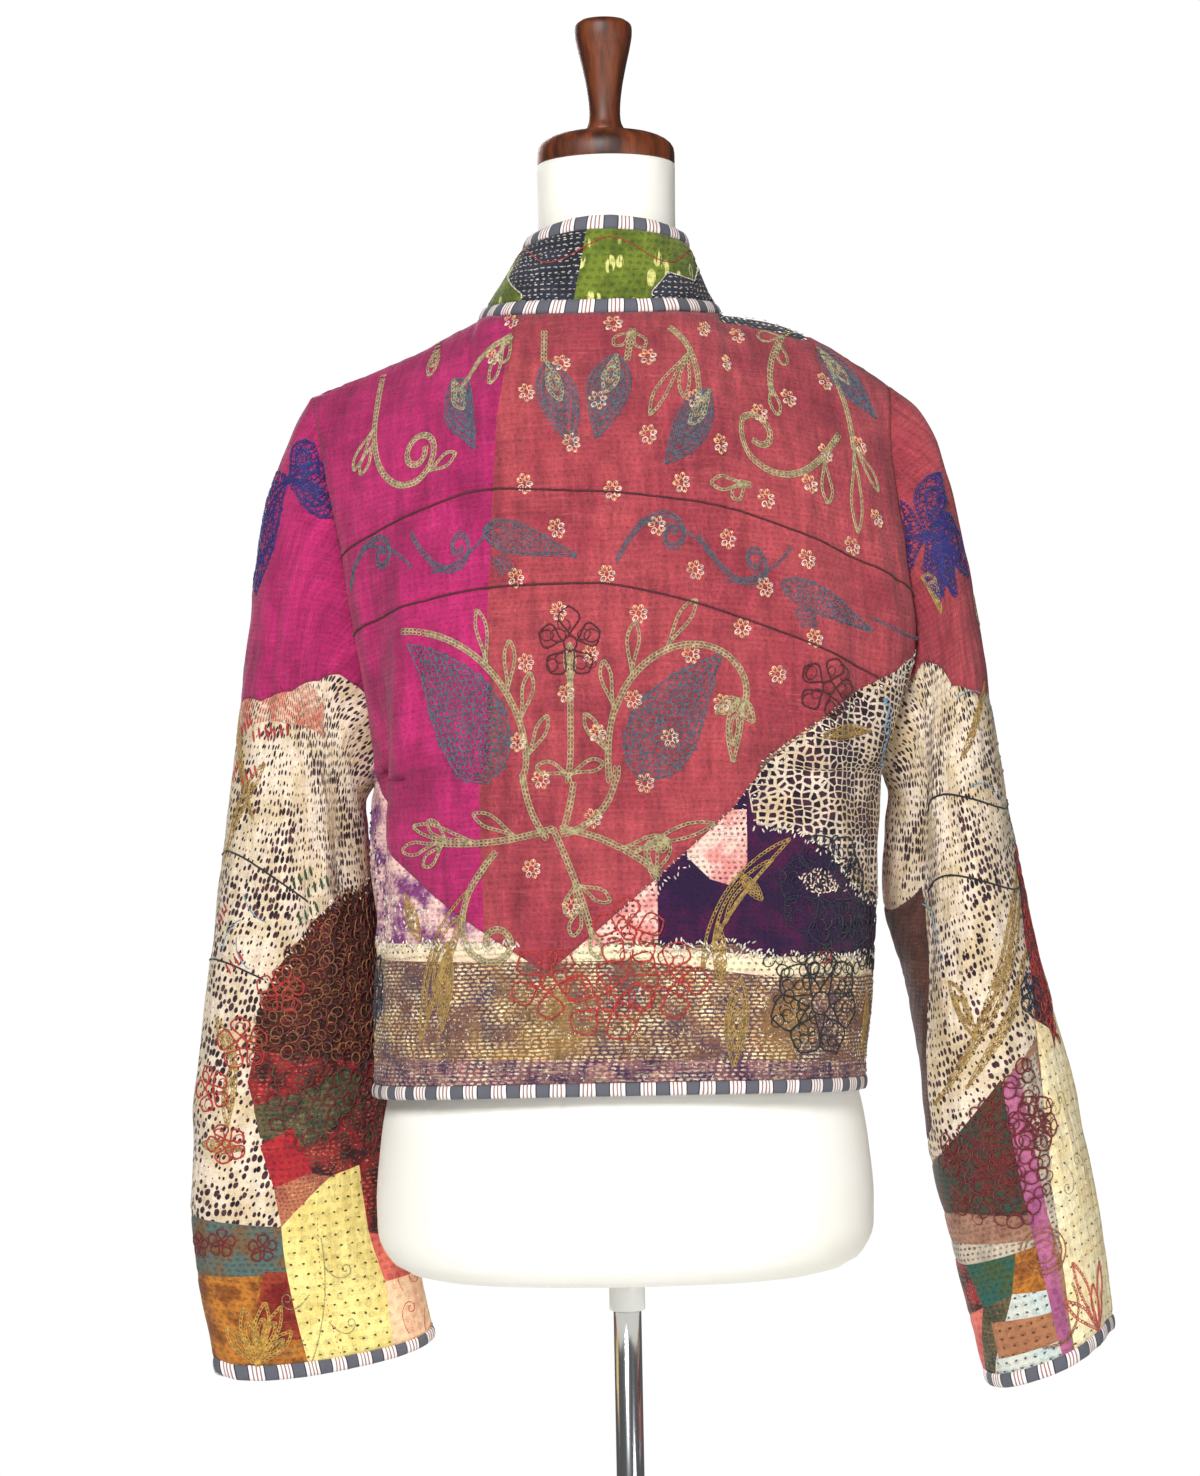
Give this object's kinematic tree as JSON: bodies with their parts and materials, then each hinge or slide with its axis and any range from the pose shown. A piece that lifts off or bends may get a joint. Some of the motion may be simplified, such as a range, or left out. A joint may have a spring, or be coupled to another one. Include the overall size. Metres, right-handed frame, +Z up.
{
  "type": "cropped patchwork jacket on a dress form",
  "caption": "Cropped long-sleeved jacket of quilted patchwork with a stand collar and striped bindings, worn by a limbless dress form with a turned wooden cap on a round-based pole stand.",
  "frame": {"origin": "centre of the base's flat underside, on the floor under the pole", "axes": "+Z up the pole; the jacket's front faces -Y; the wearer's left is +X"},
  "size_m": [0.6515, 0.356, 1.6581],
  "materials": {
    "upper_cloth": "matt quilted cotton, berry red and magenta",
    "lower_cloth": "matt quilted cotton patchwork, cream and taupe",
    "collar_cloth": "matt quilted cotton, dark blue and olive",
    "striped_tape": "woven cotton, grey and white stripes",
    "form_canvas": "matt ivory canvas stretched over a stiff shell",
    "turned_wood": "semi-gloss red-brown varnish",
    "white_enamel": "satin white",
    "chrome_tube": "polished",
    "base_enamel": "satin white"
  },
  "bodies": {
    "root": {"back_upper": "upper_cloth", "back_lower": "lower_cloth", "front_left": "upper_cloth", "front_right": "upper_cloth", "sleeve_left_upper": "upper_cloth", "sleeve_left_lower": "lower_cloth", "sleeve_right_upper": "upper_cloth", "sleeve_right_lower": "lower_cloth", "collar": "collar_cloth", "front_binding_left": "striped_tape", "front_binding_right": "striped_tape", "hem_binding": "striped_tape", "neck_binding": "striped_tape", "collar_binding": "striped_tape", "cuff_binding_left": "striped_tape", "cuff_binding_right": "striped_tape", "form_torso": "form_canvas", "neck_cap": "turned_wood", "finial": "turned_wood", "form_socket": "white_enamel", "pole": "chrome_tube", "base": "base_enamel"}
  },
  "joints": []
}
